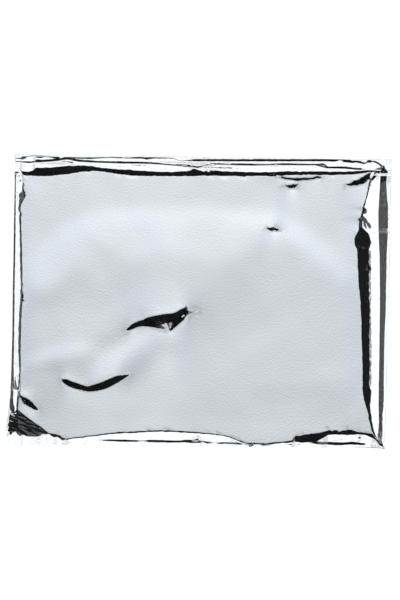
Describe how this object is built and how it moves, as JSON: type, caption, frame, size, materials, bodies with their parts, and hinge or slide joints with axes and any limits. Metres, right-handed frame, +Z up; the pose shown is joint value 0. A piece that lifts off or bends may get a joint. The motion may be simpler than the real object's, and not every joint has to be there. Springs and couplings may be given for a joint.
{
  "type": "folded emergency foil blanket",
  "caption": "Emergency blanket of thin metallised film, folded back and forth into a flat pocket-size packet with one creased, shiny face.",
  "frame": {"origin": "middle of the flat underside, where the packet rests", "axes": "+X along the folded panels, the packet's longest side; +Y across the panels; +Z up out of the top panel's face"},
  "size_m": [0.116, 0.0886, 0.015],
  "materials": {
    "metallised_film": "satin silver mirror coat on thin polyester film, a little crumpled by folding"
  },
  "bodies": {
    "root": {"foil_blanket": "metallised_film"}
  },
  "joints": []
}
